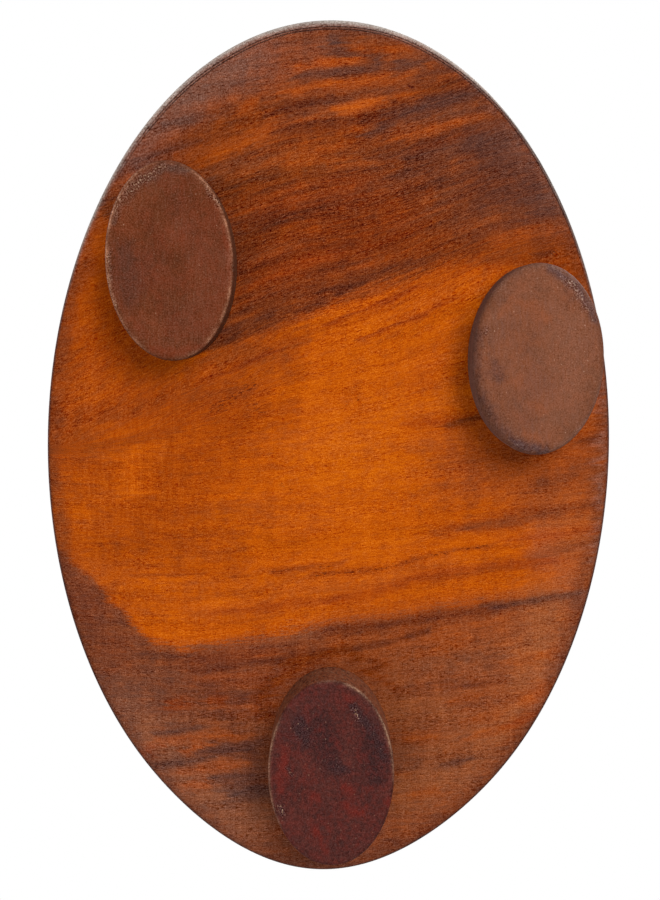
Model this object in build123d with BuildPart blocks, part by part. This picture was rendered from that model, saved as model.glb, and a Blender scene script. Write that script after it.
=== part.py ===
from build123d import *
import os
from math import cos, pi, radians, sin

# A chakla: a low oval board of solid hardwood for rolling out flat breads, on three short oval feet.
# It stands as in use: +Z is up, the soles of the feet are at zero and the long axis runs along Y.
# The near end is at -Y. The X and Y of the origin are the middle of the whole board.

# The board. Its outline is an oval whose far end swells a little, as cut and sanded by hand.
board_length = 282.0
board_width = 188.0
board_thickness = 18.0
underside_arris = 3.2
working_arris = 2.5
end_swell = 3.2
end_swell_width = 118.0
end_swell_place_share = -0.028
outline_points = 40
reach_points = 720

# The feet: solid blocks with an oval sole, each cut a little differently by hand.
foot_height = 20.0
left_foot_length = 63.6
left_foot_width = 41.0
left_foot_arris = 2.5
left_foot_turn = -3.4
right_foot_length = 61.6
right_foot_width = 42.3
right_foot_arris = 4.0
right_foot_turn = 0.6
far_foot_length = 61.8
far_foot_width = 41.3
far_foot_arris = 1.5
far_foot_turn = -1.4

# Where the feet stand, as shares of half the board's width and half its length from the oval's middle.
left_foot_place_shares = (-0.547, -0.433)
right_foot_place_shares = (0.713, -0.221)
far_foot_place_shares = (0.023, 0.740)

# Two fluted dowels hold each foot, in blind bores in the foot and in the underside of the board.
dowel_diameter = 8.0
dowel_spacing = 30.0
dowel_clearance = 0.05
dowel_end_gap = 0.5
dowel_chamfer = 1.0
flute_diameter = 1.2
flutes = 8
foot_bore_depth = 14.0
board_bore_depth = 11.0

# How far a cut runs past the surface that it starts from.
overrun = 1.0

half_width = board_width / 2
half_length = board_length / 2


def outline_point(turn):
    """A point of the board's outline from the oval's middle, at an angle that goes once round it."""
    x = half_width * cos(turn)
    y = half_length * sin(turn)
    beside = (x - end_swell_place_share * half_width) / (end_swell_width / 2)
    if y > 0 and abs(beside) < 1:
        y += end_swell * cos(pi / 2 * beside) ** 2
    return (x, y)


# The swell moves the far end out, so the oval sits back by half as much, which centres the whole board.
far_reach = max(outline_point(2 * pi * n / reach_points)[1] for n in range(reach_points))
oval_middle = (half_length - far_reach) / 2


class Foot:
    """The sizes of one foot, and its place under the board."""

    def __init__(self, name, length, width, arris, turn, place_shares):
        self.name = name
        self.length = length
        self.width = width
        self.arris = arris
        self.turn = turn
        self.x = place_shares[0] * half_width
        self.y = place_shares[1] * half_length + oval_middle

    def plane(self, height):
        """A level plane at a height above the soles, centred on the foot and turned with it."""
        return Plane((self.x, self.y, height)).rotated((0, 0, self.turn))

    def dowel_places(self):
        """The front and back dowel's places on the foot's plane."""
        return {"front": (0, -dowel_spacing / 2), "back": (0, dowel_spacing / 2)}

    def dowel_centre(self, place):
        """A dowel's X and Y in the frame of the whole board."""
        across, along = place
        turn = radians(self.turn)
        return (
            self.x + across * cos(turn) - along * sin(turn),
            self.y + across * sin(turn) + along * cos(turn),
        )


feet = [
    Foot("left", left_foot_length, left_foot_width, left_foot_arris, left_foot_turn, left_foot_place_shares),
    Foot("right", right_foot_length, right_foot_width, right_foot_arris, right_foot_turn, right_foot_place_shares),
    Foot("far", far_foot_length, far_foot_width, far_foot_arris, far_foot_turn, far_foot_place_shares),
]

bore_radius = dowel_diameter / 2 + dowel_clearance
dowel_bottom = foot_height - foot_bore_depth + dowel_end_gap
dowel_length = foot_bore_depth + board_bore_depth - 2 * dowel_end_gap
bore_places = [foot.dowel_centre(place) for foot in feet for place in foot.dowel_places().values()]

os.makedirs("parts", exist_ok=True)

# The board: one plank, with its six blind bores in the underside.
with BuildPart() as board:
    with BuildSketch(Plane((0, oval_middle, foot_height))):
        with BuildLine():
            points = [outline_point(2 * pi * n / outline_points) for n in range(outline_points)]
            Spline(*points, periodic=True)
        make_face()
    extrude(amount=board_thickness)
    fillet(board.edges().group_by(Axis.Z)[0], underside_arris)
    fillet(board.edges().group_by(Axis.Z)[-1], working_arris)
    with BuildSketch(Plane.XY.offset(foot_height - overrun)):
        with Locations(*bore_places):
            Circle(bore_radius)
    extrude(amount=overrun + board_bore_depth, mode=Mode.SUBTRACT)
board.part.label = "board"
export_step(board.part, "parts/board.step")

# The three feet, each with its two bores from above.
for foot in feet:
    with BuildPart() as block:
        with BuildSketch(foot.plane(0)):
            Ellipse(foot.width / 2, foot.length / 2)
        extrude(amount=foot_height)
        fillet(block.edges().group_by(Axis.Z)[0], foot.arris)
        with BuildSketch(foot.plane(foot_height + overrun)):
            with Locations(*foot.dowel_places().values()):
                Circle(bore_radius)
        extrude(amount=-overrun - foot_bore_depth, mode=Mode.SUBTRACT)
    block.part.label = f"{foot.name}_foot"
    export_step(block.part, f"parts/{foot.name}_foot.step")

# The dowels, fluted along their length so that glue and air can pass.
for foot in feet:
    for side, place in foot.dowel_places().items():
        centre = foot.dowel_centre(place)
        with BuildPart() as dowel:
            with BuildSketch(Plane((*centre, dowel_bottom))):
                Circle(dowel_diameter / 2)
            extrude(amount=dowel_length)
            chamfer(dowel.edges().filter_by(GeomType.CIRCLE), dowel_chamfer)
            with BuildSketch(Plane((*centre, dowel_bottom - overrun))):
                with PolarLocations(dowel_diameter / 2, flutes):
                    Circle(flute_diameter / 2)
            extrude(amount=dowel_length + 2 * overrun, mode=Mode.SUBTRACT)
        dowel.part.label = f"{foot.name}_dowel_{side}"
        export_step(dowel.part, f"parts/{foot.name}_dowel_{side}.step")
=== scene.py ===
import math

import bpy
import numpy as np
from mathutils import Matrix, Vector


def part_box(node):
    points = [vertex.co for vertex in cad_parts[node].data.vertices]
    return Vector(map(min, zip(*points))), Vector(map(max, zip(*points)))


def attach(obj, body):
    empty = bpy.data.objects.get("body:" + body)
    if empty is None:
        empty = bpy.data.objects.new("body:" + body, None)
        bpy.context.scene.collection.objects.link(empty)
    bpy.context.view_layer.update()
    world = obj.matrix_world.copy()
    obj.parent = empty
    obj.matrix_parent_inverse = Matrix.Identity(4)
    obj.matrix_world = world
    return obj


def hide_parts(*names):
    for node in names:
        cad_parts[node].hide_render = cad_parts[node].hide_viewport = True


# A chakla seen from below: an oval board of figured hardwood on three short oval feet.
# The frame gives the pieces' places and sizes. This script gives each piece its worn shape and its wood.
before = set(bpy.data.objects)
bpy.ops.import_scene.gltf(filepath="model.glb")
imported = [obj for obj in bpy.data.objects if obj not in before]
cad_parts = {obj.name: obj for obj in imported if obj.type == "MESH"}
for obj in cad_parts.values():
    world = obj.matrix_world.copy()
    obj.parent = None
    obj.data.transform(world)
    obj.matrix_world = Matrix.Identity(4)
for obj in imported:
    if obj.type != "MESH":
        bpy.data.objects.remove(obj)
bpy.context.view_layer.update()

MM = 0.001

# The picture and the camera. The picture's top is the board's near end, at -Y, and its right is +X.
PICTURE_WIDTH = 660
PICTURE_HEIGHT = 900
SENSOR = 36.0
LENS = 63.05
CAMERA_PLACE = Vector((0.0, -41.894, -503.6)) * MM
CAMERA_AIM = Vector((0.5558, -1.4212, 20.0)) * MM
CAMERA_ROLL = math.radians(0.705)
CLIP_START = 0.01

# About how many mm of the board a pixel shows.
PIXEL = 1 / 3.0


def add_object(name, data):
    """A new object in the scene."""
    thing = bpy.data.objects.new(name, data)
    bpy.context.scene.collection.objects.link(thing)
    return thing


def camera_axes():
    """The directions to the picture's right, to its top and ahead of the camera."""
    ahead = (CAMERA_AIM - CAMERA_PLACE).normalized()
    right = ahead.cross(Vector((0, -1, 0))).normalized()
    up = right.cross(ahead)
    turn = Matrix.Rotation(-CAMERA_ROLL, 3, ahead)
    return turn @ right, turn @ up, ahead


def place_camera():
    """Puts the camera where the photograph was taken from."""
    right, up, ahead = camera_axes()
    data = bpy.data.cameras.new("camera")
    data.lens = LENS
    data.sensor_width = SENSOR
    data.clip_start = CLIP_START
    camera = add_object("camera", data)
    axes = Matrix((right, up, -ahead)).transposed()
    camera.matrix_world = Matrix.Translation(CAMERA_PLACE) @ axes.to_4x4()
    bpy.context.scene.camera = camera


# The board's oval, as in the CAD model, whose far end swells a little.
board_low, board_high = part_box("board")
UNDERSIDE = board_low.z
WORKING_FACE = board_high.z
HALF_WIDTH = (board_high.x - board_low.x) / 2
HALF_LENGTH = 141.0 * MM
OVAL_MIDDLE = board_low.y + HALF_LENGTH
SWELL = 3.2 * MM
SWELL_WIDTH = 118.0 * MM
SWELL_PLACE = -0.028 * HALF_WIDTH
UNDERSIDE_ARRIS = 3.2 * MM
WORKING_ARRIS = 2.5 * MM
CREASE_STEP = 0.25 * MM
CREASE_DEPTH = 0.15 * MM
UNEVENNESS = 0.15 * MM

# How far the figure shifts across and along the board for each mm up its side.
SIDE_SLANT = (0.5, 0.35)

# How finely the meshes are made: cells across and along the lower face, steps round the lower arris, the
# upper one and up the wall, and the width of the ring inside the upper arris.
BOARD_CELLS = (108, 440)
BOARD_STEPS = (8, 5, 4)
BOARD_LIP = 1.2 * MM
CREASE_RINGS = 5
FOOT_CELLS = (60, 90)
FOOT_STEPS = (7, 2, 8)
FOOT_LIP = 1.0 * MM
FOOT_TOP_ARRIS = 0.2 * MM

# The seeds of the random values.
FIGURE_SEED = 20
FRAY_SEED = 30
CREASE_SEED = 61
RIM_SEED = 62
UNEVEN_SEED = 63


def smooth(low, high, value):
    """Rises softly from 0 to 1 as value goes from low to high."""
    share = np.clip((value - low) / (high - low), 0, 1)
    return share * share * (3 - 2 * share)


def on_plane(spots, height):
    """The places on a level plane, in mm, that show at the photograph's pixels."""
    right, up, ahead = (np.array(axis) for axis in camera_axes())
    spots = np.reshape(np.array(spots, float), (-1, 2))
    focal = LENS / SENSOR * PICTURE_HEIGHT
    across = spots[:, :1] - PICTURE_WIDTH / 2
    down = spots[:, 1:] - PICTURE_HEIGHT / 2
    rays = focal * ahead + across * right - down * up
    reach = (height - CAMERA_PLACE.z) / rays[:, 2:]
    return (np.array(CAMERA_PLACE) + rays * reach)[:, :2] / MM


class Cloud:
    """Soft random values from 0 to 1 over a plane, the same on every run."""

    SIDE = 97

    def __init__(self, seed):
        self.values = np.random.default_rng(seed).random((self.SIDE, self.SIDE))

    def at(self, x, y):
        column, row = np.floor(x).astype(int), np.floor(y).astype(int)
        right, up = smooth(0, 1, x - column), smooth(0, 1, y - row)
        column, row = column % self.SIDE, row % self.SIDE
        next_column, next_row = (column + 1) % self.SIDE, (row + 1) % self.SIDE
        low = self.values[row, column] * (1 - right) + self.values[row, next_column] * right
        high = self.values[next_row, column] * (1 - right) + self.values[next_row, next_column] * right
        return low * (1 - up) + high * up

    def layered(self, x, y, layers=3):
        """Several sizes of the same softness, added up, about zero."""
        return sum((self.at(x * 2**n + 7.3 * n, y * 2**n + 3.1 * n) - 0.5) / 2**n for n in range(layers))


# Meshes. An oval block is a grid of quads below, rings up its side and a coarser grid on top.
def disc(columns, rows):
    """A grid over the unit disc, as two arrays of rows + 1 by columns + 1."""
    across, along = np.meshgrid(np.linspace(-1, 1, columns + 1), np.linspace(-1, 1, rows + 1))
    return across * np.sqrt(1 - along**2 / 2), along * np.sqrt(1 - across**2 / 2)


def rim_of(index):
    """The outermost points of a grid in order, anticlockwise seen from above."""
    return np.concatenate([index[0, :-1], index[:-1, -1], index[-1, :0:-1], index[:0:-1, 0]])


def grid_quads(index):
    """The quads of a grid, facing up."""
    corners = index[:-1, :-1], index[:-1, 1:], index[1:, 1:], index[1:, :-1]
    return np.stack([corner.ravel() for corner in corners], 1)


def band_quads(lower, upper):
    """The quads between two rings with as many points."""
    return np.stack([lower, np.roll(lower, -1), np.roll(upper, -1), upper], 1)


def stitch(fine, coarse):
    """The triangles, facing up, from a ring to one inside it with half as many points."""
    first, middle, last = fine[::2], fine[1::2], np.roll(fine[::2], -1)
    following = np.roll(coarse, -1)
    parts = (first, middle, coarse), (middle, following, coarse), (middle, last, following)
    return np.concatenate([np.stack(part, 1) for part in parts])


class Oval:
    """A closed outline round which an angle runs, with its inward offsets."""

    def __init__(self, point):
        self.point = point
        left, right = point(np.array([math.pi, 0.0]))[0]
        near, far = point(np.array([-math.pi / 2, math.pi / 2]))[1]
        self.middle = (left + right) / 2, (near + far) / 2

    def inset(self, turn, depth):
        """The outline's points at these angles, moved in by a depth."""
        step = 0.001
        x, y = self.point(turn)
        run, climb = np.subtract(self.point(turn + step), self.point(turn - step))
        length = np.hypot(run, climb)
        return x - climb / length * depth, y + run / length * depth

    def fill(self, across, along, depth):
        """Points of the unit disc, spread over the outline moved in by a depth."""
        turn = np.arctan2(along, across)
        radius = np.hypot(across, along)
        x, y = self.inset(turn, depth)
        middle_x, middle_y = self.middle
        return middle_x + (x - middle_x) * radius, middle_y + (y - middle_y) * radius


def level(spots, height):
    """Points at one height, from arrays of x and y."""
    x, y = spots
    return np.stack([x.ravel(), y.ravel(), np.full(x.size, height)], 1)


def block(oval, columns, rows, profile, lip):
    """The points and faces of an oval block. Its profile holds (inset, height) from its lower face up."""
    across, along = disc(columns, rows)
    index = np.arange(across.size).reshape(across.shape)
    points = [level(oval.fill(across, along, profile[0][0]), profile[0][1])]
    faces = [grid_quads(index)[:, ::-1]]
    ring = rim_of(index)
    turn = np.arctan2(along.ravel()[ring], across.ravel()[ring])
    count = across.size
    for depth, height in profile[1:]:
        points.append(level(oval.inset(turn, depth), height))
        above = np.arange(count, count + ring.size)
        faces.append(band_quads(ring, above))
        ring, count = above, count + ring.size
    across, along = disc(columns // 2, rows // 2)
    points.append(level(oval.fill(across, along, profile[-1][0] + lip), profile[-1][1]))
    index = np.arange(count, count + across.size).reshape(across.shape)
    faces.append(grid_quads(index))
    return np.concatenate(points), faces + [stitch(ring, rim_of(index))]


def add_mesh(name, points, faces, values):
    """A mesh object from arrays of points and faces, with named values at its points."""
    mesh = bpy.data.meshes.new(name)
    mesh.from_pydata(points.tolist(), [], [face for group in faces for face in group.tolist()])
    mesh.shade_smooth()
    for label, numbers in values.items():
        kind, key = ("FLOAT", "value") if numbers.ndim == 1 else ("FLOAT_VECTOR", "vector")
        layer = mesh.attributes.new(label, kind, "POINT")
        layer.data.foreach_set(key, np.ascontiguousarray(numbers, np.float32).ravel())
    return add_object(name, mesh)


def rounded_profile(low, high, low_arris, high_arris, low_steps, high_steps, wall_steps):
    """The (inset, height) pairs of a wall with both arrises rounded."""
    turns = np.linspace(0, math.pi / 2, low_steps + 1)
    below = np.stack([low_arris * (1 - np.sin(turns)), low + low_arris * (1 - np.cos(turns))], 1)
    turns = np.linspace(0, math.pi / 2, high_steps + 1)
    above = np.stack([high_arris * (1 - np.cos(turns)), high - high_arris * (1 - np.sin(turns))], 1)
    heights = np.linspace(below[-1, 1], above[0, 1], wall_steps + 1)[1:-1]
    wall = [(0.0, height) for height in heights]
    return np.concatenate([below, wall, above]).tolist()


# The wood's figure was placed from the photograph. Its tones were chosen, guided by mean colours.
# A grain line crosses the board in the shape of a path of (x, rise) in mm, of which it takes a share that
# depends on the pixel row. The near path changes into the far one between two places along the board.
PATH_REACH = 110
PATH_SOFTNESS = 9
PATH_CHANGE = (-30, 5)
GRAIN_ROUNDS = 14
GRAIN_RISES_PX = [
    (22, 0.08), (65, 0.15), (110, 0.28), (200, 0.29), (270, 0.35), (330, 0.40), (400, 0.22), (450, 0.15),
    (520, 0.12), (575, 0.13), (610, 0.17), (650, 0.16), (700, 0.11), (868, 0.08),
]
NEAR_PATH = [(-94, -110), (-15, -12), (15, 8), (55, 56), (94, 80)]
FAR_PATH = [(-94, -30), (-50, -32), (-20, -18), (20, 20), (94, 85)]

# The edges of the two dark zones.
NEAR_EDGE_PX = [
    (40, 250), (72, 215), (100, 205), (140, 262), (180, 322), (215, 350), (260, 330), (335, 301), (400, 280),
    (450, 256), (500, 241), (560, 224), (610, 208),
]
FAR_EDGE_PX = [
    (30, 545), (60, 555), (90, 577), (110, 600), (125, 617), (152, 642), (180, 650), (210, 647), (250, 640),
    (340, 622), (400, 618), (440, 608), (520, 600), (600, 589),
]

# What each kind of streak is drawn towards: tone from dark to bright, plumness, redness and how strongly.
KINDS = {
    "bright": (0.84, 0.0, 0.1, 0.6),
    "orange": (0.70, 0.05, 0.12, 0.55),
    "gold": (0.64, 0.25, 0.0, 0.5),
    "amber": (0.62, 0.35, 0.05, 0.65),
    "rust": (0.52, 0.1, 0.7, 0.55),
    "red": (0.44, 0.1, 0.9, 0.6),
    # The next kind darkens and warms the wood round the far foot's base.
    "dark_ring": (0.38, 0.0, 0.3, 0.9),
    "umber": (0.42, 0.8, 0.0, 0.7),
    "olive": (0.52, 0.25, 0.0, 0.6),
    "tan": (0.60, 0.6, 0.0, 0.5),
    "brown": (0.48, 0.2, 0.2, 0.5),
    "dark": (0.24, 0.35, 0.3, 0.6),
    "shade": (0.42, 0.60, 0.12, 0.5),
    "plum": (0.28, 1.0, 0.0, 0.68),
    "slate": (0.24, 1.0, 0.0, 0.8),
}

# Broad soft areas that differ from their zone: tone, plum, red, strength, and half the width and the line in
# pixels. A line is written as x, y, x, y and so on, also in the next tables.
WASHES_PX = [
    (0.30, 0.90, 0.0, 0.85, 34, 500, 150, 530, 185, 555, 212),
    (0.34, 0.55, 0.1, 0.70, 30, 360, 195, 430, 180, 500, 195),
    (0.42, 0.10, 0.2, 0.80, 24, 395, 250, 455, 248, 500, 256, 560, 245),
    (0.40, 0.05, 0.3, 0.50, 34, 250, 240, 330, 215, 400, 210),
    (0.36, 0.00, 0.8, 0.70, 20, 265, 270, 330, 250, 400, 225),
    (0.42, 0.10, 0.7, 0.50, 24, 270, 210, 350, 190), (0.55, 0.20, 0.1, 0.40, 22, 200, 150, 260, 110),
    (0.40, 0.90, 0.0, 0.70, 20, 170, 108, 205, 84, 245, 66), (0.42, 0.60, 0.1, 0.50, 12, 245, 66, 320, 54),
    (0.40, 0.10, 0.3, 0.50, 30, 200, 300, 260, 280, 340, 258, 400, 240),
    (0.38, 0.30, 0.1, 0.50, 20, 225, 356, 290, 350), (0.38, 0.30, 0.1, 0.28, 28, 95, 548, 230, 552),
    (0.38, 0.30, 0.1, 0.40, 24, 80, 430, 100, 470),
    (0.55, 0.00, 0.2, 0.70, 50, 85, 300, 150, 400, 230, 420, 150, 500),
    (0.50, 0.10, 0.2, 0.60, 18, 64, 350, 60, 480),
    (0.56, 0.80, 0.0, 0.60, 14, 598, 340, 600, 480, 592, 560),
    (0.84, 0.00, 0.0, 0.50, 42, 375, 370, 385, 450, 360, 530),
    # Painted shadow: the next area darkens the wood below and to the left of the right foot.
    (0.52, 0.40, 0.1, 0.70, 34, 470, 470, 530, 450, 600, 440),
    (0.52, 0.50, 0.0, 0.60, 26, 540, 490, 600, 480), (0.67, 0.80, 0.0, 0.65, 28, 560, 520, 590, 580),
    (0.62, 0.40, 0.0, 0.80, 26, 350, 645, 560, 615),
    (0.72, 0.95, 0.0, 0.80, 30, 545, 610, 535, 690, 500, 730),
    (0.69, 0.85, 0.0, 0.85, 40, 400, 700, 530, 690), (0.67, 0.95, 0.0, 0.80, 38, 400, 800, 480, 750),
    (0.42, 0.75, 0.3, 0.60, 20, 80, 590, 105, 640, 125, 670),
    (0.44, 0.90, 0.0, 0.50, 24, 120, 690, 180, 700),
    (0.60, 1.10, 0.0, 0.85, 44, 115, 710, 170, 770, 240, 820),
]

# The streaks in the order of drawing: the kind, half the width and the line.
STREAKS_PX = [
    ("orange", 4, 292, 69, 340, 61), ("orange", 4, 275, 92, 340, 81), ("orange", 5, 235, 112, 262, 99),
    ("gold", 9, 195, 165, 240, 145, 290, 128), ("orange", 4, 215, 155, 245, 145),
    ("gold", 6, 225, 178, 285, 158, 340, 148), ("orange", 4, 320, 62, 362, 61),
    ("orange", 4, 320, 80, 370, 80, 420, 67, 445, 62), ("bright", 7, 340, 110, 362, 104, 385, 100),
    ("orange", 7, 402, 98, 424, 96), ("gold", 3, 382, 142, 445, 126, 500, 112),
    ("rust", 6, 235, 292, 285, 272, 340, 252), ("gold", 4, 320, 165, 380, 160),
    ("gold", 9, 495, 240, 525, 232, 562, 225), ("orange", 14, 330, 314, 407, 294, 470, 280, 500, 275),
    ("orange", 5, 557, 252, 580, 265), ("plum", 5, 300, 75, 345, 70, 370, 68),
    ("dark", 4, 267, 115, 335, 95), ("dark", 5, 277, 130, 320, 120),
    ("plum", 6, 322, 45, 375, 58, 402, 67, 425, 64), ("slate", 8, 385, 118, 430, 104, 480, 90),
    ("plum", 6, 365, 135, 400, 122), ("dark", 4, 345, 122, 400, 116),
    ("plum", 7, 405, 158, 457, 147, 517, 134), ("dark", 4, 405, 150, 465, 135),
    ("dark", 3, 530, 255, 552, 252), ("dark", 3, 250, 232, 300, 214, 345, 200),
    ("tan", 4, 235, 265, 310, 240), ("dark", 4, 320, 292, 370, 277, 410, 260),
    ("tan", 4, 395, 228, 450, 205), ("olive", 6, 480, 260, 545, 245),
    ("dark", 6, 205, 347, 270, 327, 332, 297, 365, 283), ("olive", 7, 185, 372, 225, 358, 262, 344),
    ("red", 3, 190, 384, 230, 372, 270, 350), ("brown", 14, 90, 420, 185, 394, 252, 388),
    ("brown", 4, 107, 445, 145, 437, 185, 430), ("bright", 18, 127, 462, 127, 495),
    ("bright", 26, 322, 362, 318, 500), ("red", 3, 335, 325, 420, 285), ("red", 3, 370, 337, 460, 297),
    ("rust", 5, 407, 425, 450, 420), ("dark", 6, 448, 426, 480, 416), ("shade", 10, 535, 486, 603, 459),
    ("brown", 9, 440, 532, 520, 516, 600, 505), ("shade", 6, 470, 528, 540, 514, 600, 504),
    ("rust", 6, 507, 542, 597, 527), ("shade", 6, 530, 556, 590, 544),
    ("brown", 5, 430, 580, 520, 562, 590, 556), ("dark", 3, 575, 442, 602, 435),
    ("orange", 9, 115, 602, 180, 606), ("brown", 3, 130, 577, 200, 572), ("brown", 3, 272, 572, 335, 565),
    ("brown", 3, 310, 576, 375, 570, 430, 556, 490, 545), ("rust", 5, 210, 614, 340, 598),
    ("rust", 6, 330, 601, 380, 591, 455, 568, 555, 559),
    ("orange", 6, 330, 613, 405, 601, 490, 589, 555, 572),
    ("dark", 6, 320, 632, 380, 626, 455, 614, 500, 608), ("plum", 5, 480, 608, 525, 603, 590, 592),
    ("dark", 4, 200, 671, 260, 663, 340, 651, 380, 643, 430, 630), ("umber", 17, 108, 690, 196, 696),
    ("umber", 6, 404, 127, 450, 112, 492, 106), ("rust", 6, 178, 702, 192, 702),
    ("rust", 6, 215, 700, 232, 700), ("amber", 7, 155, 742, 200, 738, 228, 734),
    ("orange", 5, 185, 750, 210, 748), ("orange", 4, 225, 742, 245, 738),
    ("amber", 8, 180, 772, 215, 767, 248, 762), ("orange", 5, 188, 786, 215, 783),
    ("rust", 6, 136, 754, 150, 751), ("gold", 7, 438, 650, 468, 644), ("amber", 8, 520, 697, 556, 685),
    ("amber", 4, 455, 700, 490, 693), ("amber", 5, 400, 740, 440, 736), ("amber", 6, 470, 738, 505, 728),
    ("amber", 5, 545, 655, 572, 648), ("gold", 6, 505, 664, 553, 652), ("orange", 7, 530, 703, 552, 681),
    ("gold", 4, 536, 698, 548, 684), ("amber", 5, 467, 722, 510, 712), ("amber", 5, 505, 742, 522, 732),
    ("amber", 6, 400, 798, 440, 790), ("plum", 5, 160, 733, 195, 727), ("plum", 8, 210, 748, 262, 746),
    ("plum", 5, 150, 766, 210, 757), ("plum", 6, 212, 778, 267, 775), ("slate", 9, 225, 795, 272, 790),
    ("shade", 9, 390, 694, 455, 683, 500, 680), ("dark", 3, 462, 688, 500, 682),
    ("shade", 9, 455, 707, 515, 700), ("rust", 5, 505, 726, 537, 716), ("plum", 5, 440, 766, 466, 758),
    ("tan", 3, 230, 670, 280, 667), ("tan", 3, 255, 706, 268, 712),
    # The next two streaks darken and warm the wood round the base of the far foot.
    ("dark_ring", 9, 268, 716, 274, 688, 294, 662, 336, 650), ("dark_ring", 5, 345, 650, 375, 663, 392, 690),
    ("dark", 2, 266, 722, 268, 700, 275, 676),
]

# Where short dark pits and cracks gather: how thickly, half the width and the line.
PITS_PX = [
    (1.0, 8, 213, 410, 232, 398, 255, 384), (0.9, 6, 250, 402, 262, 412), (0.8, 5, 258, 345, 272, 350),
    (0.7, 5, 272, 478, 292, 492), (0.5, 9, 150, 470, 180, 465), (0.7, 4, 268, 572, 335, 566),
    (0.9, 3, 310, 576, 375, 570, 430, 556, 490, 545), (0.5, 12, 345, 340, 400, 330, 450, 310),
    (0.6, 9, 340, 405, 400, 390), (0.5, 7, 530, 255, 552, 250), (0.6, 10, 400, 140, 470, 125),
    (1.6, 3, 410, 86, 413, 88), (0.5, 14, 270, 250, 330, 235), (0.6, 10, 250, 120, 290, 100),
    (0.6, 8, 160, 738, 245, 738), (0.5, 8, 180, 768, 245, 768), (0.6, 5, 548, 686, 566, 664),
    (0.4, 20, 110, 690, 200, 690),
]

# Where streaks stand out, and where the wood is calm.
STRIPED_PX = [(1.0, 48, 255, 225, 330, 205, 420, 180), (0.6, 30, 320, 300, 480, 270)]
CALM_PX = [(1.0, 34, 165, 130, 215, 95, 300, 70), (1.0, 34, 500, 150, 545, 205)]

# Where a thin veil of painted sheen, a pale haze that stands for reflected light, greys the wood.
PAINTED_SHEEN_PX = [
    (0.032, 26, 138, 150, 160, 115, 190, 88, 225, 66, 262, 54), (0.012, 20, 262, 54, 320, 50),
    (0.011, 40, 120, 715, 180, 775, 250, 825, 340, 850), (0.034, 6, 602, 340, 607, 430, 604, 510, 596, 560),
    (0.008, 30, 530, 140, 570, 210), (0.022, 6, 498, 108, 527, 148, 556, 198),
    (0.010, 16, 545, 540, 590, 620, 545, 700),
]


def path_at(table, x):
    """A grain line's shape across the board, smoothed."""
    places = np.linspace(-PATH_REACH, PATH_REACH, 2 * PATH_REACH + 1)
    heights = np.interp(places, *np.array(table, float).T)
    width = 2 * PATH_SOFTNESS + 1
    heights = np.convolve(np.pad(heights, PATH_SOFTNESS, "edge"), np.full(width, 1 / width), "valid")
    return np.interp(x, places, heights)


def grain_places(x, y):
    """How far along and across the grain each place is, in mm."""
    rises = np.array(GRAIN_RISES_PX)
    middle = np.full(len(rises), PICTURE_WIDTH / 2)
    starts = on_plane(np.stack([middle, rises[:, 0]], 1), UNDERSIDE)[:, 1]
    near, far = path_at(NEAR_PATH, x), path_at(FAR_PATH, x)
    across = y.copy()
    for _ in range(GRAIN_ROUNDS):
        blend = smooth(*PATH_CHANGE, across)
        across = y + np.interp(across, starts, rises[:, 1]) * (near * (1 - blend) + far * blend)
    return x, across


def line_distance(x, y, line):
    """How far each place lies from a line through points, and its share of the way along."""
    best, share = np.full(x.size, np.inf), np.zeros(x.size)
    lengths = np.hypot(*np.diff(line, axis=0).T)
    starts = np.concatenate([[0], np.cumsum(lengths)])
    for (ax, ay), (bx, by), start, length in zip(line, line[1:], starts, lengths):
        run, climb = bx - ax, by - ay
        along = np.clip(((x - ax) * run + (y - ay) * climb) / length**2, 0, 1)
        away = np.hypot(x - ax - along * run, y - ay - along * climb)
        nearer = away < best
        best = np.where(nearer, away, best)
        share = np.where(nearer, (start + along * length) / starts[-1], share)
    return best, share


def feathered(along, across, x, y):
    """The places moved by less than a streak along and across the grain, so that what is drawn frays."""
    seed = FRAY_SEED
    run = 7.0 * Cloud(seed).layered(along / 9, across / 0.9, 2)
    run += 5.0 * Cloud(seed + 1).layered(along / 14, across / 3, 2)
    lift = 1.3 * Cloud(seed + 2).layered(along / 11, across / 3)
    return x + run, y + lift - 0.25 * run


# How far, in mm, each zone's edge reaches, and how the zone changes the wood's tone and plumness.
NEAR_SPREAD = (-3.6, 4.4)
FAR_SPREAD = (-2.0, 2.0)
ZONE_TONE = 0.27
NEAR_PLUM = -0.36
FAR_PLUM = 0.70

# The tone, plumness and redness of the wood where nothing is drawn.
PLAIN_WOOD = (0.45, 0.40, 0.09)


def edge_side(edge, x, y, across, drawn):
    """How far past a zone's edge each place is, in mm. Where it isn't drawn, the edge follows the grain."""
    edge_x, edge_y = on_plane(edge, UNDERSIDE).T
    along_grain = across - np.interp(0.0, edge_x, edge_y)
    return drawn * (y - np.interp(x, edge_x, edge_y)) + (1 - drawn) * along_grain


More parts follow.
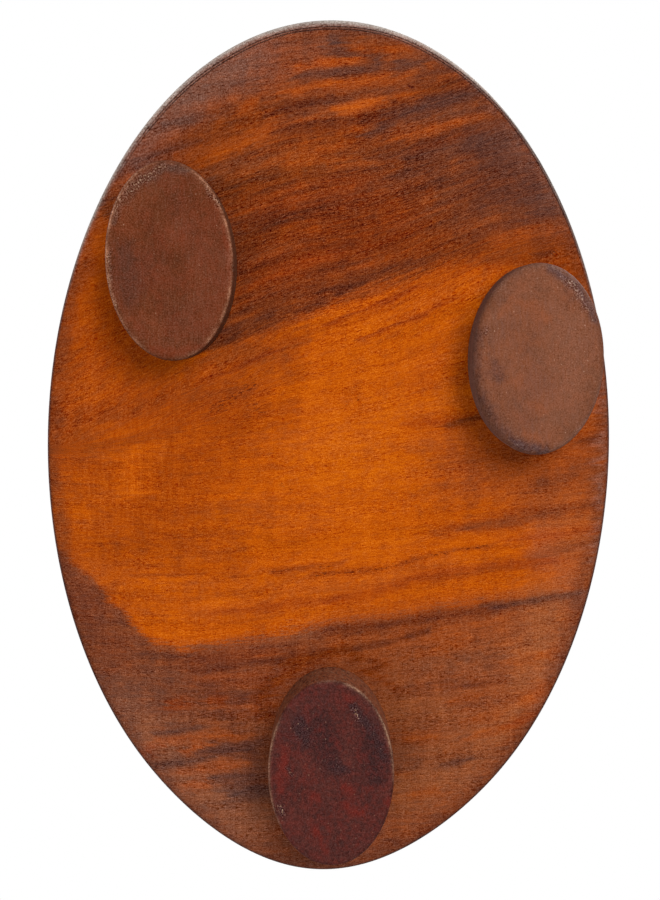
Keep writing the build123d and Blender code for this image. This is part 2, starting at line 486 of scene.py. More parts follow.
def figure(x, y, drawn):
    """The figure at places in mm: tone, plum, red, liveliness, the zones' sides and the grain's places."""
    seed = FIGURE_SEED
    along, across = grain_places(x, y)
    wander = Cloud(seed + 5).layered(along / 22, across / 5)
    near_side = edge_side(NEAR_EDGE_PX, x, y, across, drawn) + (9 - 6 * drawn) * wander
    far_side = edge_side(FAR_EDGE_PX, x, y, across, drawn) + (9 - 7 * drawn) * wander
    far_side *= 1 - 0.4 * smooth(-50, -20, x)
    near_side, far_side = (side * (0.35 + 0.65 * drawn) for side in (near_side, far_side))
    near, far = smooth(*NEAR_SPREAD, near_side), smooth(*FAR_SPREAD, far_side)
    tone, plum, red = (np.full(x.size, level) for level in PLAIN_WOOD)
    lively = 1.0 - (0.15 + 0.35 * drawn) * near + 0.25 * far
    broad = Cloud(seed + 6).layered(along / 44, across / 4.0)
    short = Cloud(seed + 7).layered(along / 10, across / 1.6, 2)
    tone += (0.20 * broad + 0.13 * short) * lively
    plum += (0.45 * Cloud(seed + 8).layered(along / 36, across / 5) - 0.15 * short) * lively
    red += 0.28 * Cloud(seed + 9).layered(along / 34, across / 6)
    return tone, plum, red, lively, near_side, far_side, along, across


def draw(fields, goals, mix):
    """Moves the fields towards their goals by a share at each place. One past the goals goes towards 0."""
    for field, goal in zip(fields, [*goals, 0.0]):
        field += (goal - field) * mix


def paint(x, y, height, streaks, kinds, fields, cover=1.0):
    """Draws soft streaks into the fields at places in mm."""
    for kind, half_width, *line in streaks:
        *goals, strength = kinds[kind]
        away, share = line_distance(x, y, on_plane(line, height))
        taper = 0.65 + 0.35 * np.sin(np.pi * np.clip(share, 0.02, 0.98))
        draw(fields, goals, cover * strength * np.exp(-(away / (half_width * PIXEL * taper)) ** 2))


def wash(x, y, height, washes, fields, cover):
    """Shifts the fields softly in broad areas, at places in mm."""
    for tone, plum, red, strength, half_width, *line in washes:
        away, _ = line_distance(x, y, on_plane(line, height))
        draw(fields, (tone, plum, red), cover * strength * np.exp(-(away / (half_width * PIXEL)) ** 2))


def gathered(x, y, height, places):
    """How thickly something gathers at places in mm."""
    total = np.zeros(x.size)
    for share, half_width, *line in places:
        away, _ = line_distance(x, y, on_plane(line, height))
        total = np.maximum(total, share * np.exp(-(away / (half_width * PIXEL)) ** 2))
    return total


def edge_distance(x, y):
    """About how far each place lies inside the board's outline, in mm."""
    wide, middle = HALF_WIDTH / MM, OVAL_MIDDLE / MM
    long = HALF_LENGTH / MM + np.where(y > middle, far_swell(x * MM) / MM, 0)
    down = y - middle
    size = np.maximum(np.hypot(x / wide, down / long), 0.001)
    return (1 - size) * size / np.hypot(x / wide**2, down / long**2)


def bearing_of(x, y):
    """The direction from the oval's middle, in degrees from its near end, positive to the right."""
    return np.degrees(np.arctan2(x, OVAL_MIDDLE / MM - y))


def window(stretch, value):
    """1 between the stretch's two inner values, and 0 past its outer ones."""
    low, low_full, high_full, high = stretch
    return smooth(low, low_full, value) * (1 - smooth(high_full, high, value))


# Two fine dark lines run along the near arris. The path holds bearings and how far inside the edge the
# outer line lies, in mm. Then come both lines' places past that and the bearings between which they show.
CREASE_PATH = [
    (-40, 1.5), (-30, 1.6), (-14, 2.5), (0, 2.5), (9, 1.9), (16, 1.7), (23, 1.3), (28, 0.8), (45, 0.5),
    (70, 0.4),
]
CREASES = (0.0, 0.8)
CREASE_STRETCH = (-46, -24, 42, 66)
CREASE_HALF_WIDTH = 0.6


def crease_places(x, y):
    """How far inside the outer line each place is, in mm, and how far the crease shows there."""
    bearing = bearing_of(x, y)
    wander = 0.25 * Cloud(CREASE_SEED).layered(bearing / 7, 0 * bearing, 2)
    depth = edge_distance(x, y) + wander - np.interp(bearing, *np.array(CREASE_PATH).T)
    return depth, window(CREASE_STRETCH, bearing)


def crease(x, y):
    """How deep the crease is worn in, from 0 to 1."""
    depth, shown = crease_places(x, y)
    return np.exp(-(((depth - CREASES[1] / 2) / CREASE_HALF_WIDTH) ** 2)) * shown


# How far in from the edge the rim is pale, in mm by bearing, and the bearings between which it is. The pale
# rim is partly wear and partly a painted highlight where the near arris faces the light.
WEAR_AND_HIGHLIGHT_REACH = [
    (-60, 0.5), (-40, 0.7), (-30, 0.85), (-12, 0.95), (0, 1.1), (10, 1.0), (20, 0.8), (27, 0.5), (45, 0.4),
]
WEAR_AND_HIGHLIGHT_STRETCH = (-70, -40, 50, 66)

# Between these bearings, where the rim faces the light, it has no dark outline; elsewhere the outline is
# painted shade. Then come the depths, in mm, over which the outline and the dull rim fade, and their
# tone and plumness.
BRIGHT_STRETCH = (-60, -30, 22, 32)
PAINTED_SHADE_FADE = (0.35, 1.2)
PAINTED_SHADE_WOOD = (0.05, 0.9)
DULL_FADE = (1.5, 8.0)
DULL_WOOD = (0.34, 0.60)


def paint_rim(x, y, below, fields):
    """The lower arris: pale with wear and painted highlight at the near end, a dull rim, and a painted shade
    outline elsewhere.
    """
    tone, plum, pale, zoned = fields
    depth, bearing = edge_distance(x, y), bearing_of(x, y)
    wander = Cloud(RIM_SEED).layered(bearing / 4, depth * 0.2, 2)
    reach = np.interp(bearing, *np.array(WEAR_AND_HIGHLIGHT_REACH).T)
    # The pale near rim: partly wear and partly a painted highlight where the arris faces the light.
    worn = np.exp(-((np.maximum(depth, 0) / reach) ** 1.3)) * (1 + 0.4 * wander)
    pale += worn * window(WEAR_AND_HIGHLIGHT_STRETCH, bearing) * below
    dull = (1 - smooth(*DULL_FADE, depth + 3 * wander)) * below
    # A dark outline of painted shade, where the arris turns away from the light.
    outline = (1 - smooth(*PAINTED_SHADE_FADE, depth)) * (1 - window(BRIGHT_STRETCH, bearing)) * below
    tone += (DULL_WOOD[0] - tone) * 0.5 * dull
    plum += (DULL_WOOD[1] - plum) * 0.45 * dull
    zoned *= 1 - 0.5 * dull
    tone += (PAINTED_SHADE_WOOD[0] - tone) * 0.9 * outline
    plum += (PAINTED_SHADE_WOOD[1] - plum) * outline
    zoned *= 1 - outline


def far_swell(x):
    """How far the far end stands out beyond the oval at each x."""
    beside = (x - SWELL_PLACE) / (SWELL_WIDTH / 2)
    return np.where(abs(beside) < 1, SWELL * np.cos(math.pi / 2 * beside) ** 2, 0)


def board_outline(turn):
    """The board's outline, at angles that go once round it."""
    x = HALF_WIDTH * np.cos(turn)
    y = HALF_LENGTH * np.sin(turn)
    return x, y + np.where(y > 0, far_swell(x), 0) + OVAL_MIDDLE


# How far up the side, in mm, the streaks, the zones' drawn edges and the unevenness fade out.
STREAK_FADE = 4
DRAWN_FADE = 14
HOLLOW_FADE = 2

# Where sanding marks show on the lower face, and how strongly at its far end and on the side.
SANDED_ACROSS = (-88, -80, -50, -36)
SANDED_ALONG = (-22, -12, 22, 34)
FAR_SANDED = (40, 60)
LIGHTLY_SANDED = 0.6


def board_values(x, y, z):
    """What the board's material reads at each place in mm."""
    rise = z - UNDERSIDE / MM
    below, drawn = 1 - smooth(0, STREAK_FADE, rise), 1 - smooth(0, DRAWN_FADE, rise)
    slanted = x + SIDE_SLANT[0] * rise, y + SIDE_SLANT[1] * rise
    tone, plum, red, lively, near_side, far_side, along, across = figure(*slanted, drawn)
    frayed = feathered(along, across, x, y)
    tables = STRIPED_PX, CALM_PX, PAINTED_SHEEN_PX
    striped, calm, painted_sheen = (gathered(*frayed, UNDERSIDE, table) for table in tables)
    lively += (0.7 * striped - 0.35 * calm) * below
    # The painted sheen starts the pale value. The rim's wear and painted highlight are added to it.
    zoned, pale = np.ones(x.size), painted_sheen * below
    wash(*frayed, UNDERSIDE, WASHES_PX, (tone, plum, red, zoned), below)
    paint(*frayed, UNDERSIDE, STREAKS_PX, KINDS, (tone, plum, red, zoned), below)
    paint_rim(x, y, below, (tone, plum, pale, zoned))
    sanded = window(SANDED_ACROSS, x) * window(SANDED_ALONG, y) * below
    lightly = np.maximum(smooth(*FAR_SANDED, y) * below, 1 - drawn)
    crease_depth, shown = crease_places(x, y)
    return dict(
        grain=np.stack([along, across, z], 1), tone=tone, plum=plum, red=red, zoned=zoned, lively=lively,
        near_side=near_side, far_side=far_side, pale=pale,
        sanded=np.maximum(sanded, LIGHTLY_SANDED * lightly),
        pitted=gathered(x, y, UNDERSIDE, PITS_PX) * below,
        crease_depth=crease_depth, creased=shown * below,
    )


def build_board():
    """The board: one plank with worn arrises, creased by the near one and a little uneven below."""
    profile = rounded_profile(UNDERSIDE, WORKING_FACE, UNDERSIDE_ARRIS, WORKING_ARRIS, *BOARD_STEPS)
    rings = [(UNDERSIDE_ARRIS + step * CREASE_STEP, UNDERSIDE) for step in range(CREASE_RINGS, 0, -1)]
    points, faces = block(Oval(board_outline), *BOARD_CELLS, rings + profile, BOARD_LIP)
    x, y, z = (points / MM).T
    swells = Cloud(UNEVEN_SEED).at(x / 30, y / 24) * smooth(3.4, 9, edge_distance(x, y))
    hollow = CREASE_DEPTH * crease(x, y) + UNEVENNESS * swells
    points[:, 2] += hollow * (1 - smooth(0, HOLLOW_FADE, z - UNDERSIDE / MM))
    return add_mesh("rolling_board", points, faces, board_values(x, y, z))


# The feet: length, width and arris in mm and turn in degrees, as in the CAD model, and the seed.
FEET = {
    "left_foot": (63.6, 41.0, 2.5, -3.4, 40),
    "right_foot": (61.6, 42.3, 4.0, 0.6, 50),
    "far_foot": (61.8, 41.3, 1.5, -1.4, 60),
}

# The pale stretches of each sole's edge, partly wear and partly a painted highlight, as bearings, and over
# how many degrees they fade.
EDGE_FADE = 25
FOOT_EDGES = {
    "left_foot": [(-150, -20), (20, 100), (125, 160)],
    "right_foot": [(-20, 30), (120, 160)],
    "far_foot": [(10, 80), (-120, -60)],
}

# Blots on the soles, as streaks are. The goals are tone, redness, greyness and dust.
FOOT_KINDS = {
    "dark": (0.2, 0.1, 0.4, 0.0, 0.7),
    "light": (0.65, 0.1, 0.0, 0.1, 0.7),
    "red": (0.5, 1.0, 0.0, 0.0, 0.8),
    "ruddy": (0.5, 0.6, 0.0, 0.0, 0.6),
    "grey": (0.3, 0.0, 1.0, 0.3, 0.8),
    "dusty": (0.45, 0.0, 0.35, 1.0, 0.85),
}
FOOT_BLOTS_PX = {
    "left_foot": [
        ("grey", 5, 113, 222, 124, 198, 142, 178, 165, 167, 190, 170),
        ("dusty", 5, 116, 214, 128, 190, 146, 174, 164, 167), ("dusty", 3, 110, 250, 109, 290, 114, 318),
        ("dusty", 3, 205, 182, 222, 208), ("grey", 4, 233, 220, 238, 250, 237, 275),
        ("ruddy", 5, 150, 350, 175, 354, 205, 345), ("ruddy", 3, 222, 225, 228, 250, 229, 290),
        ("dark", 14, 125, 250, 130, 300), ("light", 10, 150, 320, 160, 335),
        ("light", 12, 122, 222, 140, 195), ("dusty", 3, 115, 318, 130, 340),
        ("dusty", 3, 233, 225, 238, 260, 236, 300),
    ],
    "right_foot": [
        ("grey", 6, 550, 268, 570, 280, 585, 298, 595, 320),
        ("dark", 7, 482, 400, 500, 430, 520, 445, 545, 450), ("dark", 6, 475, 330, 474, 370, 480, 400),
        ("grey", 4, 512, 440, 525, 448, 548, 453), ("dusty", 3, 568, 280, 580, 298, 588, 312),
        ("dusty", 2, 484, 335, 487, 325), ("light", 22, 575, 330, 572, 390),
        ("ruddy", 5, 518, 302, 535, 308, 548, 320), ("ruddy", 4, 512, 298, 500, 318),
        ("ruddy", 7, 512, 382, 520, 385), ("ruddy", 6, 530, 405, 545, 412),
        ("ruddy", 5, 525, 432, 535, 436), ("dark", 9, 495, 365, 500, 378),
    ],
    "far_foot": [
        ("red", 7, 285, 750, 280, 790), ("red", 5, 334, 742, 338, 745), ("red", 5, 362, 755, 365, 758),
        ("red", 6, 345, 788, 352, 792), ("red", 7, 345, 806, 362, 812), ("red", 6, 313, 795, 318, 800),
        ("red", 5, 345, 697, 350, 700), ("red", 6, 315, 830, 325, 850), ("red", 4, 388, 803, 389, 806),
        ("grey", 6, 350, 705, 372, 730, 385, 760), ("grey", 9, 300, 720, 305, 745),
        ("grey", 7, 330, 765, 345, 770), ("dusty", 3, 350, 708, 360, 718), ("dusty", 3, 275, 803, 282, 815),
        ("dusty", 2, 285, 765, 290, 775), ("dark", 16, 320, 720, 330, 760),
        ("dark", 12, 370, 740, 376, 780),
    ],
}


def foot_values(name, x, y, z):
    """What a foot's material reads at each place in mm."""
    _, _, arris, _, seed = FEET[name]
    low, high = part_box(name)
    middle = (low + high) / 2 / MM
    tone = 0.5 + 0.14 * Cloud(seed).layered(x / 7, y / 9)
    red = 0.15 + 0.3 * Cloud(seed + 1).layered(x / 6, y / 7)
    grey = 0.06 + 0.2 * Cloud(seed + 2).layered(x / 8, y / 8)
    dust = np.zeros(x.size)
    fray_x = 1.6 * Cloud(seed + 3).layered(x / 2.2, y / 3.0)
    fray_y = 1.6 * Cloud(seed + 4).layered(x / 2.2, y / 3.0)
    paint(x + fray_x, y + fray_y, low.z, FOOT_BLOTS_PX[name], FOOT_KINDS, (tone, red, grey, dust))
    dust *= 1 - 0.9 * smooth(0.7 * arris, 1.4 * arris, z)
    side = smooth(0.3 * arris, 1.2 * arris, z)
    # A pale band on the arris, partly wear and partly a painted highlight.
    edge = np.exp(-(((z - 0.42 * arris) / (0.2 * arris + 0.05)) ** 2))
    edge *= 0.7 + Cloud(seed + 5).layered(x / 5, y / 5)
    bearing = np.degrees(np.arctan2(x - middle.x, middle.y - y))
    stretches = [(first - EDGE_FADE, first, last, last + EDGE_FADE) for first, last in FOOT_EDGES[name]]
    edge *= min(2 / arris, 1) * (z > 0.01) * sum(window(stretch, bearing) for stretch in stretches)
    return dict(grain=np.stack([x, y, z], 1), tone=tone, red=red, grey=grey, dust=dust, side=side, edge=edge)


def build_foot(name):
    """A foot: an oval block with rounded arrises."""
    length, width, arris, degrees, _ = FEET[name]
    low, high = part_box(name)
    middle = (low + high) / 2
    slant = math.radians(degrees)

    def outline(turn):
        across, along = width / 2 * MM * np.cos(turn), length / 2 * MM * np.sin(turn)
        x = middle.x + across * math.cos(slant) - along * math.sin(slant)
        return x, middle.y + across * math.sin(slant) + along * math.cos(slant)

    profile = rounded_profile(low.z, high.z, arris * MM, FOOT_TOP_ARRIS, *FOOT_STEPS)
    points, faces = block(Oval(outline), *FOOT_CELLS, profile, FOOT_LIP)
    return add_mesh(name + "_block", points, faces, foot_values(name, *(points / MM).T))


def srgb(*levels):
    """The linear colour of a screen colour from 0 to 255."""
    shares = np.array(levels) / 255
    linear = np.where(shares <= 0.04045, shares / 12.92, ((shares + 0.055) / 1.055) ** 2.4)
    return (*linear.tolist(), 1.0)


# The board's colours by tone: plain, plum and red.
WARM_RAMP = [
    (0.0, (36, 13, 4)), (0.15, (70, 29, 6)), (0.30, (102, 43, 6)), (0.45, (132, 56, 4)),
    (0.60, (163, 69, 2)), (0.75, (190, 85, 1)), (0.90, (212, 104, 6)), (1.0, (232, 128, 24)),
]
PLUM_RAMP = [
    (0.0, (32, 19, 19)), (0.15, (60, 37, 33)), (0.30, (88, 52, 42)), (0.45, (112, 64, 44)),
    (0.60, (136, 76, 46)), (0.75, (158, 90, 52)), (0.90, (180, 110, 68)), (1.0, (205, 140, 95)),
]
RED_RAMP = [(0.0, (44, 12, 8)), (0.3, (108, 38, 16)), (0.6, (158, 58, 14)), (1.0, (212, 96, 28))]

# The pale colour of the rim and the veils: partly wear, partly painted highlight and sheen.
PALE_WEAR_AND_SHEEN = srgb(252, 246, 236)
PIT_COLOUR = srgb(78, 20, 8)
CREASE_COLOUR = srgb(34, 20, 18)
CREASE_EDGE = (0.06, 0.34)
SCREEN_GAMMA = 2.2
RELIEF = 0.2 * MM
BOARD_SPECULAR = 0.02
FOOT_SPECULAR = 0.03
DOWEL_ROUGHNESS = 0.7


class Nodes:
    """The nodes of a material or a world. A name stands for one of its noises or for the mesh's values."""

    def __init__(self, owner, **noises):
        owner.use_nodes = True
        self.owner, self.tree = owner, owner.node_tree
        self.shader = self.tree.nodes.get("Principled BSDF")
        self.named = {}
        for name, kind in noises.items():
            grain = self.add("ShaderNodeAttribute", attribute_name="grain").outputs["Vector"]
            self.named[name] = self.noise(grain, *kind)

    def add(self, kind, *values, **settings):
        """A new node with its settings, whose first sockets are filled."""
        node = self.tree.nodes.new(kind)
        for name, value in settings.items():
            setattr(node, name, value)
        for socket, value in zip(node.inputs, values):
            self.put(socket, value)
        return node

    def put(self, socket, value):
        """Fills a socket from an output, a name or a number."""
        if isinstance(value, str):
            if value not in self.named:
                self.named[value] = self.add("ShaderNodeAttribute", attribute_name=value).outputs["Fac"]
            value = self.named[value]
        if isinstance(value, bpy.types.NodeSocket):
            self.tree.links.new(value, socket)
        else:
            socket.default_value = value

    def math(self, operation, *values, clamp=False):
        return self.add("ShaderNodeMath", *values, operation=operation, use_clamp=clamp).outputs[0]

    def vector_math(self, operation, *values):
        return self.add("ShaderNodeVectorMath", *values, operation=operation).outputs[0]

    def times(self, first, second):
        return self.math("MULTIPLY", first, second)

    def weighed(self, *terms):
        """The sum of values times their weights."""
        total, *parts = [
            value if weight == 1.0 else self.times(value, weight) for value, weight in terms
        ]
        for part in parts:
            total = self.math("ADD", total, part)
        return total

    def noise(self, vector, sizes, detail, warp=0.0):
        """Noise about zero whose blots measure about sizes."""
        node = self.add("ShaderNodeTexNoise", self.vector_math("DIVIDE", vector, sizes))
        node.inputs["Scale"].default_value = 1.0
        node.inputs["Detail"].default_value = detail
        node.inputs["Distortion"].default_value = warp
        return self.math("SUBTRACT", node.outputs["Fac"], 0.5)

    def step(self, value, low, high):
        """Goes softly from 0 to 1 as value goes from low to high."""
        node = self.add("ShaderNodeMapRange", value, low, high, interpolation_type="SMOOTHSTEP")
        return node.outputs["Result"]

    def ramp(self, value, stops):
        """The colour at a value between the stops' places."""
        node = self.add("ShaderNodeValToRGB", value)
        steps = node.color_ramp.elements
        while len(steps) < len(stops):
            steps.new(0.5)
        for step, (place, colour) in zip(steps, stops):
            step.position = place
            step.color = srgb(*colour)
        return node.outputs["Color"]

    def blend(self, factor, first, second):
        """The first colour at a factor of 0 or less, and the second at 1 or more."""
        node = self.add("ShaderNodeMix", data_type="RGBA", clamp_factor=True)
        self.put(node.inputs["Factor"], factor)
        self.put(node.inputs["A"], first)
        self.put(node.inputs["B"], second)
        return node.outputs["Result"]

    def speckled(self, colour, amount):
        """The colour with an amount added to its screen red, green and blue."""
        screen = self.add("ShaderNodeGamma", colour, 1 / SCREEN_GAMMA).outputs[0]
        lifted = self.vector_math("MAXIMUM", self.vector_math("ADD", screen, amount))
        return self.add("ShaderNodeGamma", lifted, SCREEN_GAMMA).outputs[0]

    def finish(self, colour, roughness, specular, relief, strength):
        """The shader's colour, roughness and gloss, and the fine relief in the surface."""
        self.put(self.shader.inputs["Base Color"], colour)
        self.put(self.shader.inputs["Roughness"], roughness)
        self.shader.inputs["Specular IOR Level"].default_value = specular
        bump = self.add("ShaderNodeBump", strength, RELIEF)
        self.put(bump.inputs["Height"], relief)
        self.put(self.shader.inputs["Normal"], bump.outputs["Normal"])
        return self.owner

    def seen(self, rays):
        """1 for rays from the camera, also by way of gloss or a clear thing, and 0 for light."""
        straight = self.math("MAXIMUM", rays["Is Camera Ray"], rays["Is Glossy Ray"])
        return self.math("MAXIMUM", straight, rays["Is Transmission Ray"])


# The board's noises: their blots' sizes in mm along, across and down the grain, detail and warp.
BOARD_NOISES = {
    "streaks": ((26.0, 1.5, 6.0), 3.0, 0.4),
    "fibres": ((5.0, 0.55, 3.0), 2.0, 0.3),
    "strokes": ((1.2, 0.45, 1.0), 1.0, 0.5),
    "grit": ((0.42, 0.38, 0.4), 1.0),
    "ribbon": ((4.0, 16.0, 8.0), 2.0),
    "sanding": ((0.5, 9.0, 8.0), 1.0),
    "clusters": ((20.0, 4.0, 6.0), 2.0),
    "pores": ((1.6, 0.34, 1.0), 0.0),
    "mottle": ((3.2, 2.0, 3.0), 2.0, 0.4),
    "pits": ((1.5, 0.5, 1.0), 1.0, 0.6),
}


def zone(nodes, side, spread, fray):
    """How much a place belongs to a zone: past its frayed edge, and less under a streak."""
    past = nodes.step(nodes.math("ADD", side, fray), *spread)
    return nodes.times(past, "zoned")


def figured_wood(nodes):
    """The board's colour by tone, plumness and redness."""
    fray = nodes.weighed(("fibres", 7.0), ("strokes", 3.0), ("streaks", 5.0))
    near = zone(nodes, "near_side", NEAR_SPREAD, fray)
    far = zone(nodes, "far_side", FAR_SPREAD, fray)
    streaks = nodes.times("streaks", "lively")
    tone = nodes.weighed(
        (streaks, 0.26), ("fibres", 0.13), ("ribbon", 0.16), ("mottle", 0.14), (near, ZONE_TONE),
        (far, -ZONE_TONE), ("tone", 1.0),
    )
    plumness = nodes.weighed(
        ("plum", 1.0), ("fibres", -0.3), ("mottle", -0.4), (near, NEAR_PLUM), (far, FAR_PLUM),
    )
    plain, plum, red = (nodes.ramp(tone, stops) for stops in (WARM_RAMP, PLUM_RAMP, RED_RAMP))
    return nodes.blend(nodes.times("red", 0.8), nodes.blend(plumness, plain, plum), red)


def creases(nodes):
    """The two fine lines inside the near arris."""
    away = [nodes.math("ABSOLUTE", nodes.math("SUBTRACT", "crease_depth", place)) for place in CREASES]
    line = nodes.math("SUBTRACT", 1.0, nodes.step(nodes.math("MINIMUM", *away), *CREASE_EDGE))
    shown = nodes.times("creased", nodes.math("ADD", "fibres", 0.75))
    return nodes.times(line, shown)


def board_material():
    """Orange brown hardwood with dark streaks, fine fibres, short open pores and a pale rim, partly wear and
    partly painted highlight and sheen.
    """
    nodes = Nodes(bpy.data.materials.new("board_wood"), **BOARD_NOISES)
    pores = nodes.step(nodes.weighed(("pores", 1.0), ("clusters", 0.5), ("lively", 0.06)), 0.20, 0.30)
    patchy = nodes.weighed((1.0, 1.0), ("fibres", 0.4), ("grit", 1.6))
    # The pale rim and veils: partly wear, and partly painted highlight and sheen.
    worn = nodes.math("MULTIPLY", "pale", patchy, clamp=True)
    pits = nodes.step(nodes.weighed(("pits", 1.0), ("pitted", 0.22)), 0.22, 0.32)
    pits = nodes.times(pits, nodes.times("pitted", 0.75))
    colour = nodes.blend(worn, figured_wood(nodes), PALE_WEAR_AND_SHEEN)
    colour = nodes.blend(pits, colour, PIT_COLOUR)
    colour = nodes.blend(creases(nodes), colour, CREASE_COLOUR)
    sanding = nodes.times("sanding", "sanded")
    fine = nodes.weighed(
        ("grit", 0.36), ("strokes", 0.22), ("fibres", 0.08), (sanding, 0.12), (pores, -0.09),
    )
    vivid = nodes.weighed((0.75, 1.0), ("lively", 0.35), ("clusters", 0.8))
    smoothed = nodes.weighed((1.0, 1.0), (worn, -0.7))
    fine = nodes.times(nodes.times(fine, vivid), smoothed)
    rough = nodes.weighed((0.55, 1.0), ("fibres", 0.25), (pores, 0.15))
    relief = nodes.weighed(("fibres", 1.0), ("strokes", 0.6), ("grit", 0.4), (pores, -0.8))
    return nodes.finish(nodes.speckled(colour, fine), rough, BOARD_SPECULAR, relief, 0.25)


# Each foot's wood: its ramp from dark to light, the colours over it, its fibres' size and its mottling.
FOOT_WOODS = {
    "left_foot": {
        "ramp": [(0.0, (54, 26, 16)), (0.5, (102, 52, 28)), (1.0, (138, 78, 48))],
        "red": (140, 58, 36), "grey": (96, 68, 58), "side": (122, 72, 50),
        "edge": (226, 160, 124), "dust": (176, 140, 112), "fibres": (0.7, 6.0, 8.0), "mottled": 0.5,
    },
    "right_foot": {
        "ramp": [(0.0, (72, 44, 36)), (0.5, (121, 74, 52)), (1.0, (152, 100, 78))],
        "red": (158, 84, 48), "grey": (92, 68, 68), "side": (142, 98, 84),
        "edge": (176, 134, 116), "dust": (196, 166, 144), "fibres": (0.8, 4.0, 4.0), "mottled": 0.5,
    },
    "far_foot": {
        "ramp": [(0.0, (44, 26, 26)), (0.5, (80, 41, 36)), (1.0, (112, 64, 54))],
        "red": (110, 38, 30), "grey": (58, 40, 42), "side": (162, 90, 60),
        "edge": (190, 146, 116), "dust": (176, 138, 108), "fibres": (0.9, 1.6, 3.0), "mottled": 1.5,
    },
}
FOOT_NOISES = {
    "mottle": ((2.4, 2.8, 3.0), 3.0),
    "grit": ((0.4, 0.45, 0.6), 1.0),
    "speck": ((0.6, 0.7, 0.9), 0.0),
    "patches": ((1.1, 1.2, 2.4), 2.0, 0.5),
}


def foot_material(name):
    """Matt, worn wood with mottles, fine fibres, specks of dust and a paler arris, partly wear and partly
    painted highlight.
    """
    wood = FOOT_WOODS[name]
    mottled = wood["mottled"]
    fibres = (wood["fibres"], 3.0, 0.3)
    nodes = Nodes(bpy.data.materials.new(name + "_wood"), fibres=fibres, **FOOT_NOISES)
    tone = nodes.weighed(("tone", 1.0), ("fibres", 0.2), ("mottle", 0.2), ("patches", 0.4 * mottled))
    marks = nodes.weighed(("mottle", 0.9 * mottled), ("patches", 0.5 * mottled), ("grit", 0.3))
    wall = nodes.weighed((0.8, 1.0), ("fibres", 1.0), ("patches", 1.6 * mottled))
    patchy = nodes.weighed((0.6, 1.0), ("mottle", 1.0), ("grit", 1.5))
    specks = nodes.weighed(("speck", 1.0), ("dust", 0.24), ("side", 0.14 * mottled))
    layers = {
        "red": nodes.weighed(("red", 0.8), (marks, 1.0)),
        "grey": nodes.weighed(("grey", 0.8), ("fibres", 0.5), ("grit", 0.4)),
        "side": nodes.times("side", wall),
        # The pale arris band: partly wear and partly a painted highlight.
        "edge": nodes.times("edge", patchy),
        "dust": nodes.times(nodes.step(specks, 0.26, 0.46), 0.5),
    }
    colour = nodes.ramp(tone, wood["ramp"])
    for layer, share in layers.items():
        colour = nodes.blend(share, colour, srgb(*wood[layer]))
    dusty = nodes.times("grit", "dust")
    fine = nodes.weighed(("grit", 0.22), (dusty, 0.8), ("fibres", 0.05), ("speck", 0.05))
    rough = nodes.weighed((0.68, 1.0), ("fibres", 0.3))
    relief = nodes.weighed(("fibres", 1.0), ("grit", 0.7))
    return nodes.finish(nodes.speckled(colour, fine), rough, FOOT_SPECULAR, relief, 0.3)


def dowel_material():
    """Plain pale beech with a fine grain along the dowel."""
    nodes = Nodes(bpy.data.materials.new("dowel_wood"))
    places = nodes.add("ShaderNodeTexCoord").outputs["Object"]
    fibres = nodes.noise(places, (0.4 * MM, 0.4 * MM, 9 * MM), 3.0)
    stops = [(0.2, (176, 138, 98)), (0.8, (214, 182, 140))]
    nodes.put(nodes.shader.inputs["Base Color"], nodes.ramp(nodes.math("ADD", fibres, 0.5), stops))
    nodes.shader.inputs["Roughness"].default_value = DOWEL_ROUGHNESS
    return nodes.owner


# The floor, which turns white between two distances from the object.
FLOOR_HALF = 3.0
FLOOR_DROP = -0.3 * MM
FLOOR_FADE = (0.22, 0.75)
FLOOR_COLOUR = (0.86, 0.86, 0.85, 1)
FLOOR_ROUGHNESS = 0.8


def floor_shown(nodes, rays):
    """Where the floor is there: for what sees it from above, and for light that has bounced."""
    behind = nodes.add("ShaderNodeNewGeometry").outputs["Backfacing"]
    seen = nodes.times(nodes.seen(rays), nodes.math("SUBTRACT", 1.0, behind))
    depth = rays["Diffuse Depth"]
    shadows = nodes.times(rays["Is Shadow Ray"], nodes.math("GREATER_THAN", depth, 0.5))
    bounces = nodes.times(rays["Is Diffuse Ray"], nodes.math("GREATER_THAN", depth, 1.5))
    return nodes.math("MAXIMUM", seen, nodes.math("MAXIMUM", shadows, bounces))


def floor_material():
    """Pale and matt near the object, and white to the camera farther off."""
    nodes = Nodes(bpy.data.materials.new("floor"))
    nodes.shader.inputs["Base Color"].default_value = FLOOR_COLOUR
    nodes.shader.inputs["Roughness"].default_value = FLOOR_ROUGHNESS
    rays = nodes.add("ShaderNodeLightPath").outputs
    place = nodes.add("ShaderNodeNewGeometry").outputs["Position"]
    reach = nodes.add("ShaderNodeVectorMath", place, operation="LENGTH").outputs["Value"]
    fade = nodes.times(nodes.step(reach, *FLOOR_FADE), rays["Is Camera Ray"])
    white = nodes.add("ShaderNodeEmission").outputs[0]
    clear = nodes.add("ShaderNodeBsdfTransparent").outputs[0]
    surface = nodes.add("ShaderNodeMixShader", fade, nodes.shader.outputs[0], white).outputs[0]
    shown = nodes.add("ShaderNodeMixShader", floor_shown(nodes, rays), clear, surface).outputs[0]
    nodes.put(nodes.tree.nodes["Material Output"].inputs["Surface"], shown)
    return nodes.owner


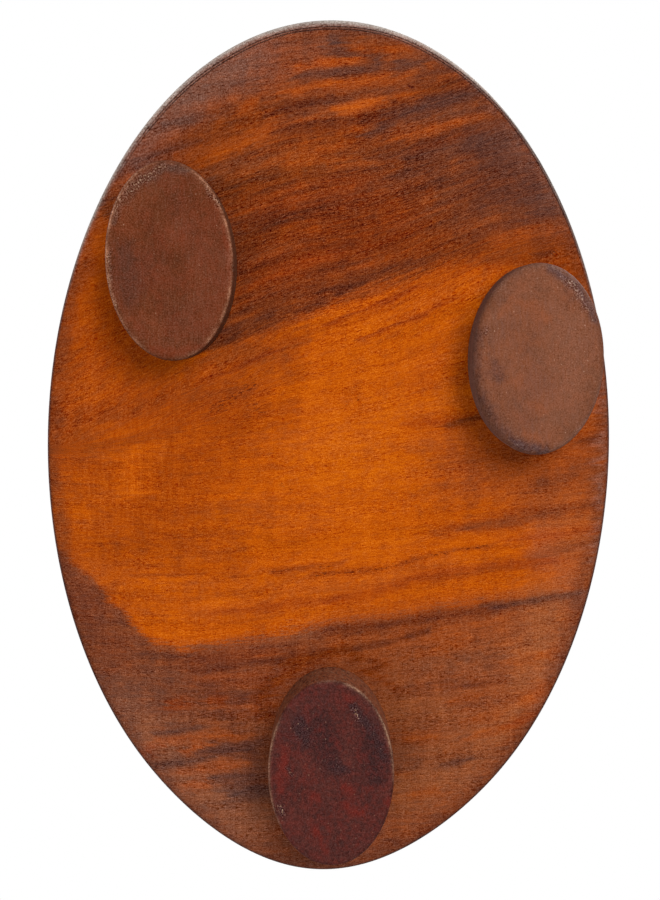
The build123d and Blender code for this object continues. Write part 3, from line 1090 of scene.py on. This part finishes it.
def build_floor():
    """A pale floor under the feet. From below it is open, so that the underside shows and is lit."""
    signs = (-1, -1), (1, -1), (1, 1), (-1, 1)
    corners = [(side * FLOOR_HALF, end * FLOOR_HALF, FLOOR_DROP) for side, end in signs]
    mesh = bpy.data.meshes.new("floor")
    mesh.from_pydata(corners, [], [(0, 1, 2, 3)])
    mesh.materials.append(floor_material())
    add_object("floor", mesh)


# Soft square lamps, each with its place, size and power.
LAMPS = {
    "key_below": ((0.52, -0.66, -1.45), 0.8, 20.0),
    "fill_below": ((-0.80, 0.60, -1.20), 1.2, 9.0),
    "key_above": ((0.45, -0.55, 0.90), 0.5, 7.0),
    "fill_above": ((-0.60, -0.20, 0.70), 0.8, 3.0),
}
LAMPS_AIM = Vector((0, 0, 0.02))


def build_lights():
    """A key and a fill for the underside, and the same for the working face."""
    for name, (place, size, watts) in LAMPS.items():
        data = bpy.data.lights.new(name, "AREA")
        data.size = size
        data.energy = watts
        lamp = add_object(name, data)
        lamp.rotation_euler = (LAMPS_AIM - Vector(place)).to_track_quat("-Z", "Y").to_euler()
        lamp.location = place


# How much the world lights the object.
WORLD_LEVEL = 0.25


def build_world():
    """White to the camera and to gloss, and a low even light on the object."""
    world = bpy.data.worlds.new("world")
    bpy.context.scene.world = world
    nodes = Nodes(world)
    rays = nodes.add("ShaderNodeLightPath").outputs
    level = nodes.add("ShaderNodeMapRange", nodes.seen(rays), 0.0, 1.0, WORLD_LEVEL, 1.0)
    background = nodes.tree.nodes["Background"]
    background.inputs["Color"].default_value = (1, 1, 1, 1)
    nodes.put(background.inputs["Strength"], level.outputs["Result"])


def dress(piece, node, material):
    """Puts a piece in the place of a CAD node, with its material."""
    piece.data.materials.append(material)
    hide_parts(node)
    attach(piece, "root")


def main():
    """Builds the scene."""
    place_camera()
    bpy.context.scene.view_settings.view_transform = "Standard"
    build_floor()
    build_lights()
    build_world()
    dress(build_board(), "board", board_material())
    for name in FEET:
        dress(build_foot(name), name, foot_material(name))
    beech = dowel_material()
    for name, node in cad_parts.items():
        if "dowel" in name:
            node.data.materials.clear()
            node.data.materials.append(beech)


main()
